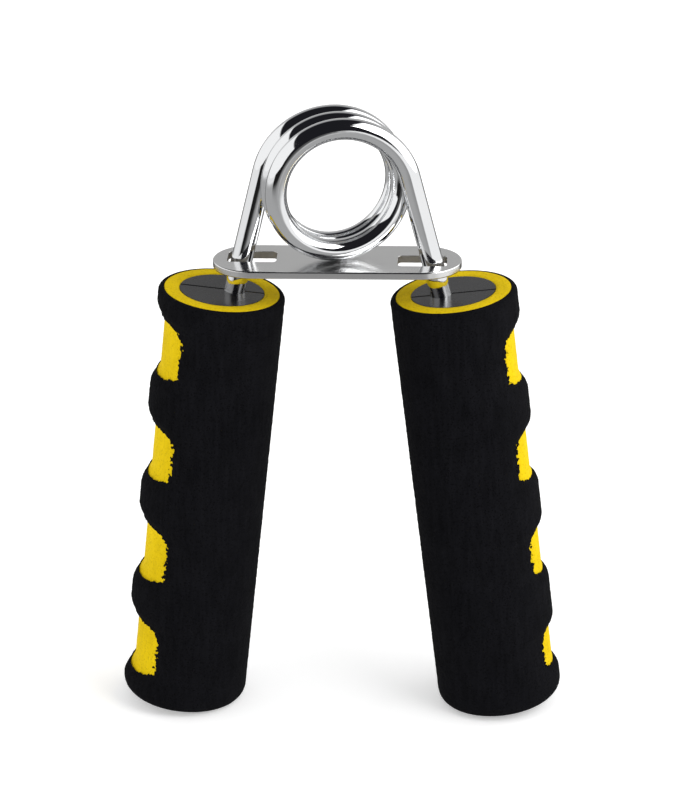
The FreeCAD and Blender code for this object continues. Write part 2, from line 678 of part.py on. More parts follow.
# volume that four grooves take from a whole cylinder of each radius, by
# summing thin slices: a check on the cuts
def groove_volume(radius, bore):
    total, step, turns = 0.0, 0.02, 720
    off = dim("groove_offset")
    y = 0.0
    while y < mouth:
        if y < flat:
            r = bottom_r
        elif y < arc_y:
            r = bottom_r + corner_r - math.sqrt(corner_r ** 2 - (y - flat) ** 2)
        else:
            r = arc_x + (y - arc_y) * math.tan(flank)
        area = 0.0
        if r < radius + off:
            for i in range(turns):
                f = math.pi * (i + 0.5) / turns
                # the handle's surface seen from its own axis, f from the outer side
                reach = -off * math.cos(f) + math.sqrt(max(r * r - (off * math.sin(f)) ** 2, 0))
                reach = max(reach, bore)
                if reach < radius:
                    area += (radius ** 2 - reach ** 2) / 2 * (math.pi / turns) * 2
        total += area * step * 2
        y += step
    return total * int(dim("groove_count"))


tube_len = "dims.handle_len - dims.foam_floor - dims.end_gap"
for side in ("left", "right"):
    # inner foam: a plain tube, scalloped by the grooves
    label = "%s_inner_sleeve" % side
    outside = round_bar(label + "_round", "dims.sleeve_radius", tube_len, "0")
    bore = round_bar(label + "_bore", "dims.sleeve_bore", tube_len, "0")
    doc.recompute()
    tube = cut_away(label + "_tube", outside, bore)
    sleeve = cut_away(label, tube, groove_cutter(label + "_grooves"))
    sleeve.Label = label
    taken = tube.Shape.Volume - sleeve.Shape.Volume
    expect = groove_volume(dim("sleeve_radius"), dim("sleeve_bore"))
    if abs(taken - expect) > 0.02 * expect:
        raise RuntimeError("%s: grooves took %.1f, expected %.1f" % (label, taken, expect))
    bind_handle(sleeve, side)
    parts.append(sleeve)

    # outer foam: a cup, closed at the bottom, with rounded edges, that
    # stands flat on the surface over a small patch
    label = "%s_outer_sleeve" % side
    outside = round_bar(label + "_round", "dims.foam_radius", "dims.handle_len", "0")
    doc.recompute()
    top_edge = int(ring_edges(outside, dim("foam_radius"), 0)[0][4:])
    low_edge = int(ring_edges(outside, dim("foam_radius"), -dim("handle_len"))[0][4:])
    blank = doc.addObject("Part::Fillet", label + "_rounds")
    blank.Base = outside
    blank.Edges = [(top_edge, dim("rim_round"), dim("rim_round")),
                   (low_edge, dim("base_round"), dim("base_round"))]
    bore = round_bar(label + "_bore", "dims.foam_bore", "dims.handle_len - dims.foam_floor", "0")
    doc.recompute()
    cup = cut_away(label + "_cup", blank, bore)
    grooved = cut_away(label + "_grooved", cup, groove_cutter(label + "_grooves"))
    taken = cup.Shape.Volume - grooved.Shape.Volume
    expect = groove_volume(dim("foam_radius"), dim("foam_bore"))
    if abs(taken - expect) > 0.02 * expect:
        raise RuntimeError("%s: grooves took %.1f, expected %.1f" % (label, taken, expect))
    ground = doc.addObject("Part::Box", label + "_ground")
    for size in ("Length", "Width"):
        ground.setExpression(size, "dims.foam_radius * 6")
    ground.setExpression("Height", "dims.foam_radius")
    tilt = Rotation(Vector(0, 1, 0), -dim("handle_lean"))
    patch = Vector(dim("top_height") * math.sin(lean), 0, -dim("top_height") * math.cos(lean))
    reach = dim("foam_radius")
    ground.Placement = Placement(patch, tilt).multiply(
        Placement(Vector(-3 * reach, -3 * reach, -reach), Rotation()))
    doc.recompute()
    sleeve = cut_away(label, grooved, ground)
    sleeve.Label = label
    bind_handle(sleeve, side)
    parts.append(sleeve)

# ------------------------------------------------------------ check, write

doc.recompute()
for obj in doc.Objects:
    state = [str(s) for s in obj.State]
    if "Invalid" in state or "Error" in state:
        raise RuntimeError("%s is %s" % (obj.Name, state))

os.makedirs("parts", exist_ok=True)
everything = None
for obj in parts:
    shape = obj.Shape
    if shape.isNull() or not shape.isValid():
        raise RuntimeError(obj.Label + " has no valid shape")
    if len(shape.Solids) != 1:
        raise RuntimeError("%s has %d solids" % (obj.Label, len(shape.Solids)))
    box = shape.BoundBox
    print("%-20s volume %9.1f  x %7.2f %7.2f  y %7.2f %7.2f  z %7.2f %7.2f" % (
        obj.Label, shape.Volume, box.XMin, box.XMax, box.YMin, box.YMax, box.ZMin, box.ZMax))
    everything = box if everything is None else everything.united(box)
    shape.exportStep("parts/%s.step" % obj.Label)
print("overall %.2f x %.2f x %.2f, z from %.3f" % (
    everything.XLength, everything.YLength, everything.ZLength, everything.ZMin))
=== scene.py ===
"""Looks for the hand grip strengthener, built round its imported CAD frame.

Metres, +Z up through the coil, +X to the right handle, +Y to the rear.
The spring, the plate and the foam sleeves are finer meshes in the places of their CAD nodes;
the plastic core halves are the CAD nodes themselves with a moulded, glossy material.
"""

import math

import bmesh
import bpy
import numpy as np
from mathutils import Matrix, Vector, noise


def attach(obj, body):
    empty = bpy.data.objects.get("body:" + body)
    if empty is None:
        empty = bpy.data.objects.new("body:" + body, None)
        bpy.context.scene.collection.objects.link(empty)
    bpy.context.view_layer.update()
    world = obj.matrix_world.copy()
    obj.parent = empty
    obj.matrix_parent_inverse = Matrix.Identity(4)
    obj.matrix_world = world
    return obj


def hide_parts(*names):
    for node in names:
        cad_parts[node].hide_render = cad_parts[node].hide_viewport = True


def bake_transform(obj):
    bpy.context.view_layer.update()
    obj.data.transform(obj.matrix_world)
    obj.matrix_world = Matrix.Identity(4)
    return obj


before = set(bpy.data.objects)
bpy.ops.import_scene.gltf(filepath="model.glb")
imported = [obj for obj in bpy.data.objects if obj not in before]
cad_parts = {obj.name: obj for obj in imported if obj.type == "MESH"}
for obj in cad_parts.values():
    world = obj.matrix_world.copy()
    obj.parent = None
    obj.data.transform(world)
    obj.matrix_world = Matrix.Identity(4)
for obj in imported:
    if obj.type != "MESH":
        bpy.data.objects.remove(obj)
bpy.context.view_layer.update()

MM = 0.001
TAU = 2 * math.pi

# ---------------------------------------------------------------- dimensions, mm

WIRE_R = 2.8
COIL_C = np.array((0.0, 0.0, 147.2))
COIL_R = 16.8
PITCH = 5.85
YAW = math.radians(15)
COIL_N = np.array((math.sin(YAW), -math.cos(YAW), 0.0))
COIL_E = np.array((math.cos(YAW), math.sin(YAW), 0.0))
UP = np.array((0.0, 0.0, 1.0))

CORNER = np.array((-15.55, 2.7113, 164.0))  # where the leg's two runs would meet
DOWN = np.array((-0.23946, -0.03545, -0.97026))
BEND_R = 18.285
LEG_RUN = 91.042

PLATE_TOP, PLATE_T = 126.76, 2.0
PLATE_L, PLATE_W = 32.4, 10.3
SLOT_X, SLOT_Y, SLOT_R, SLOT_SHIFT = (15.8, 28.6), 3.9, 1.2, 1.2

TILT = math.radians(6.41)
END_FACE = np.array((-30.22, 0.0, 117.8))
SLEEVE_L = 117.6
CORE_R, YELLOW_R, BLACK_IN, BLACK_R = 11.15, 15.2, 15.25, 16.7
RIM_R, FOOT_R = 1.3, 4.0
GROOVES = (16.4, 44.5, 72.6, 100.7)
GROOVE_E = 4.03
GROOVE_TURN = math.radians(7)


def unit(v):
    v = np.asarray(v, float)
    return v / np.linalg.norm(v)


# ---------------------------------------------------------------- mesh helpers


def mesh_object(name, verts_mm, faces, normals=None, flat=()):
    """A mesh object from points in mm. normals is one per point, or None for plain smoothing;
    the faces whose numbers are in flat keep their own face normal."""
    data = bpy.data.meshes.new(name)
    data.from_pydata((np.asarray(verts_mm, float) * MM).tolist(), [], faces)
    data.update()
    flat = set(flat)
    data.polygons.foreach_set("use_smooth", [True] * len(data.polygons))
    if normals is not None:
        loops = []
        for p in data.polygons:
            if p.index in flat:
                n = p.normal.copy()
                loops.extend([n] * p.loop_total)
            else:
                loops.extend(Vector(normals[v]) for v in p.vertices)
        data.normals_split_custom_set(loops)
    obj = bpy.data.objects.new(name, data)
    bpy.context.scene.collection.objects.link(obj)
    return obj


def tube(name, points, tangents, sides, radius, around=72):
    """A round tube with flat ends along points; each side is square to its tangent."""
    points, tangents, sides = map(np.asarray, (points, tangents, sides))
    angle = np.arange(around) * TAU / around
    verts, normals = [], []
    for p, t, s in zip(points, tangents, sides):
        w = np.cross(t, s)
        ring = np.outer(np.cos(angle), s) + np.outer(np.sin(angle), w)
        verts.append(p + radius * ring)
        normals.append(ring)
    n = len(points)
    faces = []
    for j in range(n - 1):
        a, b = j * around, (j + 1) * around
        for i in range(around):
            k = (i + 1) % around
            faces.append((a + i, a + k, b + k, b + i))
    flat = [len(faces), len(faces) + 1]
    faces.append(tuple(range(around - 1, -1, -1)))
    faces.append(tuple((n - 1) * around + i for i in range(around)))
    return mesh_object(name, np.vstack(verts), faces, np.vstack(normals), flat)


# ---------------------------------------------------------------- spring


def coil_point(t):
    return (
        COIL_C
        + COIL_R * (math.sin(t) * COIL_E + math.cos(t) * UP)
        + PITCH * (t / TAU - 1) * COIL_N
    )


def make_coil():
    steps = 400
    ts = np.linspace(0, 2 * TAU, steps + 1)
    points = [coil_point(t) for t in ts]
    tangents = [
        unit(
            COIL_R * (math.cos(t) * COIL_E - math.sin(t) * UP) + PITCH / TAU * COIL_N
        )
        for t in ts
    ]
    sides = [math.sin(t) * COIL_E + math.cos(t) * UP for t in ts]
    return tube("wound_coil", points, tangents, sides, WIRE_R)


def leg_line():
    """The leg's centre line on the left: the coil's end, one bend and the straight run."""
    start = coil_point(0.0)
    leave = unit(CORNER - start)
    down = unit(DOWN)
    turn = math.acos(float(leave @ down))
    reach = BEND_R * math.tan(turn / 2)
    first = CORNER - reach * leave
    inward = unit(down - (down @ leave) * leave)
    centre = first + BEND_R * inward
    points, tangents = [start], [leave]
    for a in np.linspace(0, turn, 61):
        points.append(centre - BEND_R * math.cos(a) * inward + BEND_R * math.sin(a) * leave)
        tangents.append(math.cos(a) * leave + math.sin(a) * inward)
    last = CORNER + reach * down
    for d in np.linspace(0, LEG_RUN, 61)[1:]:
        points.append(last + d * down)
        tangents.append(down)
    side = unit(np.cross(leave, down))
    return np.array(points), np.array(tangents), np.array([side] * len(points))


HALF_TURN = np.diag((-1.0, -1.0, 1.0))


def make_legs():
    points, tangents, sides = leg_line()
    left = tube("left_leg_wire", points, tangents, sides, WIRE_R)
    right = tube(
        "right_leg_wire",
        points @ HALF_TURN,
        tangents @ HALF_TURN,
        sides @ HALF_TURN,
        WIRE_R,
    )
    return left, right


# ---------------------------------------------------------------- guide plate


def stadium(inset, z, steps=96):
    """The plate's outline, with its normals."""
    r = PLATE_W - inset
    half = PLATE_L - PLATE_W
    pts, nrm = [], []
    for side in (1, -1):
        for k in range(steps + 1):
            a = -math.pi / 2 + math.pi * k / steps + (0 if side > 0 else math.pi)
            pts.append((side * half + r * math.cos(a), r * math.sin(a), z))
            nrm.append((math.cos(a), math.sin(a), 0.0))
    return pts, nrm


def slot_outline(side, grow, z, steps=10):
    """A slot's outline, a rectangle with small round corners, with its normals into the slot."""
    x0, x1 = (SLOT_X[0], SLOT_X[1]) if side > 0 else (-SLOT_X[1], -SLOT_X[0])
    yc = -SLOT_SHIFT * side
    r = SLOT_R + grow
    pts, nrm = [], []
    for cx, cy, a0 in (
        (x1 - SLOT_R, yc + SLOT_Y - SLOT_R, 0.0),
        (x0 + SLOT_R, yc + SLOT_Y - SLOT_R, math.pi / 2),
        (x0 + SLOT_R, yc - SLOT_Y + SLOT_R, math.pi),
        (x1 - SLOT_R, yc - SLOT_Y + SLOT_R, 1.5 * math.pi),
    ):
        for k in range(steps + 1):
            a = a0 + math.pi / 2 * k / steps
            pts.append((cx + r * math.cos(a), cy + r * math.sin(a), z))
            nrm.append((-math.cos(a), -math.sin(a), 0.0))
    return pts, nrm


def make_plate():
    """The plate with softly rounded edges outside and a crisp punched edge round each slot."""
    verts, normals, faces, sheared = [], [], [], []
    top, low = PLATE_TOP, PLATE_TOP - PLATE_T

    def walls(outline, radius, sign):
        """Rings down one wall, from the top face round the edge to the bottom face."""
        rings = []
        for z, face in ((top, 1), (low, -1)):
            row = []
            for k in range(6):
                a = math.pi / 2 * k / 5
                inset = radius * (1 - math.sin(a))
                zz = z - face * radius * (1 - math.cos(a))
                pts, nrm = outline(inset, zz)
                start = len(verts)
                verts.extend(pts)
                for n in nrm:
                    normals.append(
                        (
                            n[0] * math.sin(a),
                            n[1] * math.sin(a),
                            face * math.cos(a),
                        )
                    )
                row.append((start, len(pts)))
            rings.append(row)
        order = rings[0] + rings[1][::-1]
        for step, ((a, n), (b, _)) in enumerate(zip(order, order[1:])):
            for i in range(n):
                k = (i + 1) % n
                if sign < 0 and step >= 4:
                    sheared.append(len(faces))
                quad = (a + i, b + i, b + k, a + k)
                faces.append(quad if sign > 0 else quad[::-1])
        return rings[0][0], rings[1][0]

    loops = [walls(stadium, 0.35, 1)]
    for side in (-1, 1):
        loops.append(
            walls(
                lambda inset, z, side=side: slot_outline(side, inset, z), 0.14, -1
            )
        )

    # the flat faces: filled between the outline and the slots
    flat = []
    for which, want in ((0, 1), (1, -1)):
        bm = bmesh.new()
        edges, index = [], {}
        for pair in loops:
            start, n = pair[which]
            ring = []
            for i in range(n):
                v = bm.verts.new(verts[start + i])
                index[v] = start + i
                ring.append(v)
            for i in range(n):
                edges.append(bm.edges.new((ring[i], ring[(i + 1) % n])))
        bmesh.ops.triangle_fill(bm, edges=edges, use_beauty=True, use_dissolve=False)
        for f in bm.faces:
            f.normal_update()
            ids = [index[v] for v in f.verts]
            if f.normal.z * want < 0:
                ids.reverse()
            flat.append(len(faces))
            faces.append(tuple(ids))
        bm.free()
    obj = mesh_object("slotted_plate", verts, faces, normals, flat)
    for i in sheared:
        obj.data.polygons[i].material_index = 1
    return obj


# ---------------------------------------------------------------- foam sleeves


def soft_min(a, b, k):
    """The smaller of two radii with the crest between them rounded over about k mm."""
    h = np.clip(0.5 + 0.5 * (b - a) / k, 0, 1)
    return b * (1 - h) + a * h - k * h * (1 - h)


def groove_rho(s, look):
    """Radius of the finger grooves about their own axis, against the length s."""
    rho = np.full_like(s, 60.0)
    for centre, move, deep, long in zip(GROOVES, look["move"], look["deep"], look["long"]):
        d = np.abs(s - centre - move) / long
        blend = np.clip(d - 5.2, 0, 7.682 - 5.2)
        arc = 4 - np.sqrt(np.maximum(16 - blend**2, 0))
        flank = np.maximum(d - 7.682, 0) * 0.7913
        one = 17.93 - deep + arc + flank
        rho = np.minimum(rho, one)
    return rho


def groove_radius(theta, s, look, turn):
    """Distance of the groove surface from the sleeve's own axis, in the direction theta."""
    rho = groove_rho(s, look)
    d = theta - turn
    return GROOVE_E * np.cos(d) + np.sqrt(
        np.maximum(rho**2 - (GROOVE_E * np.sin(d)) ** 2, 0)
    )


def outer_radius(s):
    """The black sleeve's radius before the grooves: a rounded rim and a rounder foot."""
    r = np.full_like(s, BLACK_R)
    top = s < RIM_R
    r[top] = BLACK_R - RIM_R + np.sqrt(np.maximum(RIM_R**2 - (RIM_R - s[top]) ** 2, 0))
    e = SLEEVE_L - s
    low = e < FOOT_R
    r[low] = BLACK_R - FOOT_R + np.sqrt(np.maximum(FOOT_R**2 - (FOOT_R - e[low]) ** 2, 0))
    return r


def noise_grid(theta, s, radius, scale, octaves, seed, stretch=1.0):
    """Smooth noise on a sleeve's surface, one value per grid point, about -1 to 1."""
    out = np.empty((len(s), len(theta)))
    off = Vector((seed * 13.7, seed * 5.3, seed * 9.1))
    cx, sy = radius * np.cos(theta) / scale, radius * np.sin(theta) / scale
    for j, z in enumerate(s):
        for i in range(len(theta)):
            out[j, i] = noise.fractal(
                Vector((cx[i], sy[i], z / (scale * stretch))) + off, 1.0, 2.0, octaves
            )
    return out


def handle_matrix(side):
    """The handle's frame in mm: local +X to the other handle, +Y to the rear on the left,
    +Z up its axis, origin at the middle of its top end face."""
    c, s = math.cos(TILT), math.sin(TILT)
    rot = np.array(((c, 0, s), (0, 1, 0), (-s, 0, c)))
    if side > 0:
        rot = HALF_TURN @ rot
        return rot, HALF_TURN @ END_FACE
    return rot, END_FACE


def to_frame(points, side):
    rot, origin = handle_matrix(side)
    out = points @ rot.T + origin
    out[:, 2] = np.maximum(out[:, 2], 0.0)  # the foot lies flat on what it stands on
    return out


LOOK = {
    # per groove, from the top: mm moved down, mm deeper, length factor, and mm wider open
    # at the cut edge. The two sleeves are hand-trimmed and differ a little.
    -1: {
        "name": "left",
        "move": (-0.9, 0.4, 1.1, 1.1),
        "deep": (-0.35, -0.3, -0.1, -0.15),
        "long": (1.12, 1.06, 1.09, 1.09),
        "open": (0.0, 0.0, 0.0, 0.0),
        "turn": 0.0,
        "seed": 3,
    },
    1: {
        "name": "right",
        "move": (1.4, 1.4, 1.55, 1.85),
        "deep": (-0.7, -0.85, -1.1, -1.15),
        "long": (1.07, 1.0, 0.97, 0.86),
        "open": (0.24, 0.40, 0.48, 0.42),
        "turn": 0.0,
        "seed": 8,
    },
}


def per_groove(s, values):
    """The value of the groove nearest to each s."""
    near = np.argmin(np.abs(s[:, None] - np.array(GROOVES)[None, :]), axis=1)
    return np.array(values)[near]


def groove_place(s, look):
    """Distance along the sleeve from the nearest groove's middle, in that groove's own scale."""
    centres = np.array(GROOVES) + np.array(look["move"])
    return (np.abs(s[:, None] - centres[None, :]) / np.array(look["long"])[None, :]).min(axis=1)


def make_black(side):
    """The black sleeve: a closed shell whose finger grooves break through in ragged windows."""
    look = LOOK[side]
    count = 360
    theta = np.arange(count) * TAU / count
    rim = RIM_R * (1 - np.cos(np.linspace(0, math.pi / 2, 7)))
    rows = np.concatenate((rim, np.arange(RIM_R + 0.34, 112.4, 0.34), (112.6,)))
    T, S = np.meshgrid(theta, rows)
    turn = GROOVE_TURN + math.radians(look["turn"])
    groove = groove_radius(T, S, look, turn)
    body = outer_radius(rows)[:, None] + 0 * T
    r = soft_min(body, groove, 0.9)
    fuzz = noise_grid(theta, rows, 16, 1.6, 3, look["seed"])
    fade = np.clip(rows / 1.2, 0.35, 1)[:, None]
    # the cut skin is a little rough, apart from the moulded rim and foot
    grit = noise_grid(theta, rows, 15, 0.9, 2, look["seed"] + 80)
    low = (np.clip(rows / 3, 0, 1) * np.clip((112.6 - rows) / 4, 0, 1))[:, None]
    r = np.minimum(r + 0.045 * fuzz * fade - 0.02 + (0.10 * grit - 0.04) * low, BLACK_R)
    r = np.maximum(r, BLACK_IN + 0.03) * (groove > BLACK_IN) + r * (groove <= BLACK_IN)
    rag = noise_grid(theta, rows, 15, 2.3, 4, look["seed"] + 20)
    tear = noise_grid(theta, rows, 15, 0.78, 2, look["seed"] + 40)
    edge = BLACK_IN + 0.12 + per_groove(rows, look["open"])[:, None]
    # the corners of a window are round, and its long inner edge has fine torn teeth
    corner = 0.55 * np.clip(groove_place(rows, look) / 7.6, 0, 1.3)[:, None] ** 4
    field = soft_min(body, groove, 0.2) + corner - (edge + 0.05 * rag + 0.28 * tear)
    field[rows < 4] = 1.0
    field[rows > 111] = 1.0
    outer_r = np.maximum(r, BLACK_IN + 0.06)

    def at(radius, th, s):
        return (radius * math.cos(th), radius * math.sin(th), -s)

    verts, faces = [], []
    outer = np.arange(len(rows) * count).reshape(len(rows), count)
    for j, s in enumerate(rows):
        for i, th in enumerate(theta):
            verts.append(at(outer_r[j, i], th, s))
    shift = len(verts)
    inner = outer + shift
    for j, s in enumerate(rows):
        for i, th in enumerate(theta):
            verts.append(at(BLACK_IN, th, s))
    cuts = {}

    def cut(a, b):
        """The pair of points where the torn edge crosses between two grid points."""
        key = (a, b) if a < b else (b, a)
        if key not in cuts:
            (ja, ia), (jb, ib) = key
            fa, fb = field[ja, ia], field[jb, ib]
            t = min(max(fa / (fa - fb), 0.08), 0.92)
            po = [x + (y - x) * t for x, y in zip(verts[outer[ja, ia]], verts[outer[jb, ib]])]
            pi = [x + (y - x) * t for x, y in zip(verts[inner[ja, ia]], verts[inner[jb, ib]])]
            cuts[key] = (len(verts), len(verts) + 1)
            verts.append(tuple(po))
            verts.append(tuple(pi))
        return cuts[key]

    positive = field > 0
    for j in range(len(rows) - 1):
        for i in range(count):
            k = (i + 1) % count
            corners = ((j, i), (j + 1, i), (j + 1, k), (j, k))
            signs = [positive[c] for c in corners]
            if all(signs):
                faces.append(tuple(int(outer[c]) for c in corners))
                faces.append(tuple(int(inner[c]) for c in corners)[::-1])
                continue
            if not any(signs):
                continue
            ring = []
            for n in range(4):
                a, b = corners[n], corners[(n + 1) % 4]
                if signs[n]:
                    ring.append((int(outer[a]), int(inner[a]), False))
                if signs[n] != signs[(n + 1) % 4]:
                    o, q = cut(a, b)
                    ring.append((o, q, True))
            faces.append(tuple(x[0] for x in ring))
            faces.append(tuple(x[1] for x in ring)[::-1])
            for n in range(len(ring)):
                a, b = ring[n], ring[(n + 1) % len(ring)]
                if a[2] and b[2]:
                    faces.append((b[0], a[0], a[1], b[1]))
    # the top end face
    for i in range(count):
        k = (i + 1) % count
        faces.append((int(inner[0, i]), int(outer[0, i]), int(outer[0, k]), int(inner[0, k])))
    # the foot, outside
    last = [int(v) for v in outer[-1]]
    foot = np.concatenate(
        ((113.1,), SLEEVE_L - FOOT_R + FOOT_R * np.sin(np.linspace(0, math.pi / 2, 14)))
    )
    prev_r = outer_radius(foot)
    previous = last
    for j, s in enumerate(foot):
        now = []
        for i, th in enumerate(theta):
            f = 0.045 * noise.fractal(Vector((10 * math.cos(th), 10 * math.sin(th), s / 1.6)), 1.0, 2.0, 3) - 0.02
            now.append(len(verts))
            verts.append(at(min(prev_r[j] + f, BLACK_R), th, s))
        for i in range(count):
            k = (i + 1) % count
            faces.append((previous[i], now[i], now[k], previous[k]))
        previous = now
    for radius in (10.5, 8.0, 5.5, 3.0):
        now = []
        for i, th in enumerate(theta):
            now.append(len(verts))
            verts.append(at(radius, th, SLEEVE_L))
        for i in range(count):
            k = (i + 1) % count
            faces.append((previous[i], now[i], now[k], previous[k]))
        previous = now
    centre = len(verts)
    verts.append((0, 0, -SLEEVE_L))
    for i in range(count):
        faces.append((previous[i], centre, previous[(i + 1) % count]))
    # the bottom of the bore
    centre = len(verts)
    verts.append((0, 0, -112.6))
    for i in range(count):
        k = (i + 1) % count
        faces.append((int(inner[-1, k]), centre, int(inner[-1, i])))
    # the points inside the windows are used by no face
    used = sorted({v for f in faces for v in f})
    order = {v: n for n, v in enumerate(used)}
    points = np.array(verts)[used]
    faces = [tuple(order[v] for v in f) for f in faces]
    return mesh_object(look["name"] + "_black_foam", to_frame(points, side), faces)


def make_yellow(side):
    """The yellow sleeve: a plain tube, scooped where the finger grooves reach it."""
    look = LOOK[side]
    count = 240
    theta = np.arange(count) * TAU / count
    rows = np.concatenate(((0.0, 0.06, 0.2, 0.45), np.arange(0.9, 112.0, 0.45), (112.3,)))
    T, S = np.meshgrid(theta, rows)
    turn = GROOVE_TURN + math.radians(look["turn"])
    groove = groove_radius(T, S, look, turn)
    fuzz = noise_grid(theta, rows, 15, 1.1, 3, look["seed"] + 60)
    r = np.minimum(YELLOW_R, groove + 0.05 * fuzz)
    for j, drop in enumerate((0.22, 0.1, 0.03)):
        r[j] = np.minimum(r[j], YELLOW_R - drop)
    verts, faces = [], []
    for j, s in enumerate(rows):
        for i, th in enumerate(theta):
            verts.append((r[j, i] * math.cos(th), r[j, i] * math.sin(th), -s))
    shell = len(verts)
    for radius, s in ((CORE_R + 0.18, 0.0), (CORE_R, 0.2), (CORE_R, 112.1), (CORE_R, 112.3)):
        for th in theta:
            verts.append((radius * math.cos(th), radius * math.sin(th), -s))

    def band(a, b):
        for i in range(count):
            k = (i + 1) % count
            faces.append((a + i, b + i, b + k, a + k))

    for j in range(len(rows) - 1):
        band(j * count, (j + 1) * count)
    band((len(rows) - 1) * count, shell + 3 * count)
    band(shell + 3 * count, shell + 2 * count)
    band(shell + 2 * count, shell + count)
    band(shell + count, shell)
    # the end face, in three rings so that its grain can lift it a little
    mids = []
    for part in (0.33, 0.67):
        start = len(verts)
        for i, th in enumerate(theta):
            radius = (CORE_R + 0.18) * (1 - part) + r[0, i] * part
            lift = 0.03 * noise.noise(Vector((radius * math.cos(th), radius * math.sin(th), 7.0)))
            verts.append((radius * math.cos(th), radius * math.sin(th), min(lift, 0.0)))
        mids.append(start)
    band(shell, mids[0])
    band(mids[0], mids[1])
    band(mids[1], 0)
    return mesh_object(
        look["name"] + "_yellow_foam", to_frame(np.array(verts), side), faces
    )


# ---------------------------------------------------------------- materials


def material(name):
    mat = bpy.data.materials.new(name)
    mat.use_nodes = True
    tree = mat.node_tree
    bsdf = tree.nodes["Principled BSDF"]
    return mat, tree, bsdf


def node(tree, kind, **values):
    n = tree.nodes.new(kind)
    for key, value in values.items():
        if hasattr(n, key):
            setattr(n, key, value)
        else:
            n.inputs[key].default_value = value
    return n


def object_coords(tree, scale, turn=(0.0, 0.0, 0.0)):
    coord = tree.nodes.new("ShaderNodeTexCoord")
    mapping = tree.nodes.new("ShaderNodeMapping")
    mapping.inputs["Scale"].default_value = scale
    mapping.inputs["Rotation"].default_value = turn
    tree.links.new(coord.outputs["Object"], mapping.inputs["Vector"])
    return mapping.outputs["Vector"]


def noise_tex(tree, vector, scale, detail=3.0, rough=0.5):
    n = tree.nodes.new("ShaderNodeTexNoise")
    n.inputs["Scale"].default_value = scale
    n.inputs["Detail"].default_value = detail
    n.inputs["Roughness"].default_value = rough
    tree.links.new(vector, n.inputs["Vector"])
    return n.outputs["Fac"]


def remap(tree, value, low, high, to_low, to_high, smooth=False):
    n = tree.nodes.new("ShaderNodeMapRange")
    n.interpolation_type = "SMOOTHSTEP" if smooth else "LINEAR"
    n.inputs["From Min"].default_value = low
    n.inputs["From Max"].default_value = high
    n.inputs["To Min"].default_value = to_low
    n.inputs["To Max"].default_value = to_high
    tree.links.new(value, n.inputs["Value"])
    return n.outputs["Result"]


def two_colours(tree, fac, a, b):
    n = tree.nodes.new("ShaderNodeMix")
    n.data_type = "RGBA"
    n.inputs["A"].default_value = (*a, 1)
    n.inputs["B"].default_value = (*b, 1)
    tree.links.new(fac, n.inputs["Factor"])
    return n.outputs["Result"]


def math_node(tree, op, a, b=None):
    n = tree.nodes.new("ShaderNodeMath")
    n.operation = op
    for slot, value in ((0, a), (1, b)):
        if value is None:
            continue
        if isinstance(value, (int, float)):
            n.inputs[slot].default_value = value
        else:
            tree.links.new(value, n.inputs[slot])
    return n.outputs[0]


def bump(tree, bsdf, height, strength, distance):
    n = tree.nodes.new("ShaderNodeBump")
    n.inputs["Strength"].default_value = strength
    n.inputs["Distance"].default_value = distance
    tree.links.new(height, n.inputs["Height"])
    tree.links.new(n.outputs["Normal"], bsdf.inputs["Normal"])


def chrome():
    """Bright plating: nearly a mirror, with faint waviness and handling haze."""
    mat, tree, bsdf = material("polished_chrome_plate")
    bsdf.inputs["Metallic"].default_value = 1.0
    at = object_coords(tree, (1, 1, 1))
    haze = noise_tex(tree, at, 160.0, 4.0, 0.6)
    tree.links.new(remap(tree, haze, 0.35, 0.75, 0.035, 0.075), bsdf.inputs["Roughness"])
    tint = noise_tex(tree, at, 70.0, 2.0)
    tree.links.new(
        two_colours(tree, tint, (0.86, 0.87, 0.885), (0.9, 0.905, 0.91)),
        bsdf.inputs["Base Color"],
    )
    wave = noise_tex(tree, at, 220.0, 2.0)
    bump(tree, bsdf, wave, 0.05, 0.0004)
    return mat


def plate_steel():
    """Plated sheet: satin, lightly rolled along its length, softer than the wire."""
    mat, tree, bsdf = material("satin_plated_sheet")
    bsdf.inputs["Metallic"].default_value = 1.0
    at = object_coords(tree, (60.0, 900.0, 900.0))
    grain = noise_tex(tree, at, 1.0, 4.0, 0.6)
    cloud = noise_tex(tree, object_coords(tree, (1, 1, 1)), 90.0, 3.0)
    mixed = math_node(tree, "ADD", math_node(tree, "MULTIPLY", grain, 0.5), math_node(tree, "MULTIPLY", cloud, 0.5))
    tree.links.new(remap(tree, mixed, 0.35, 0.65, 0.16, 0.21), bsdf.inputs["Roughness"])
    tree.links.new(
        two_colours(tree, cloud, (0.80, 0.80, 0.80), (0.88, 0.88, 0.875)),
        bsdf.inputs["Base Color"],
    )
    bump(tree, bsdf, grain, 0.012, 0.0001)
    return mat


def sheared_steel():
    """The slots' punched walls: dull, unplated-looking and streaked across the thickness."""
    mat, tree, bsdf = material("sheared_slot_wall")
    bsdf.inputs["Metallic"].default_value = 0.7
    at = object_coords(tree, (1500.0, 1500.0, 150.0))
    streak = noise_tex(tree, at, 1.0, 3.0, 0.6)
    tree.links.new(
        two_colours(tree, streak, (0.33, 0.315, 0.295), (0.50, 0.485, 0.46)),
        bsdf.inputs["Base Color"],
    )
    tree.links.new(remap(tree, streak, 0.3, 0.7, 0.42, 0.6), bsdf.inputs["Roughness"])
    bump(tree, bsdf, streak, 0.1, 0.0002)
    return mat


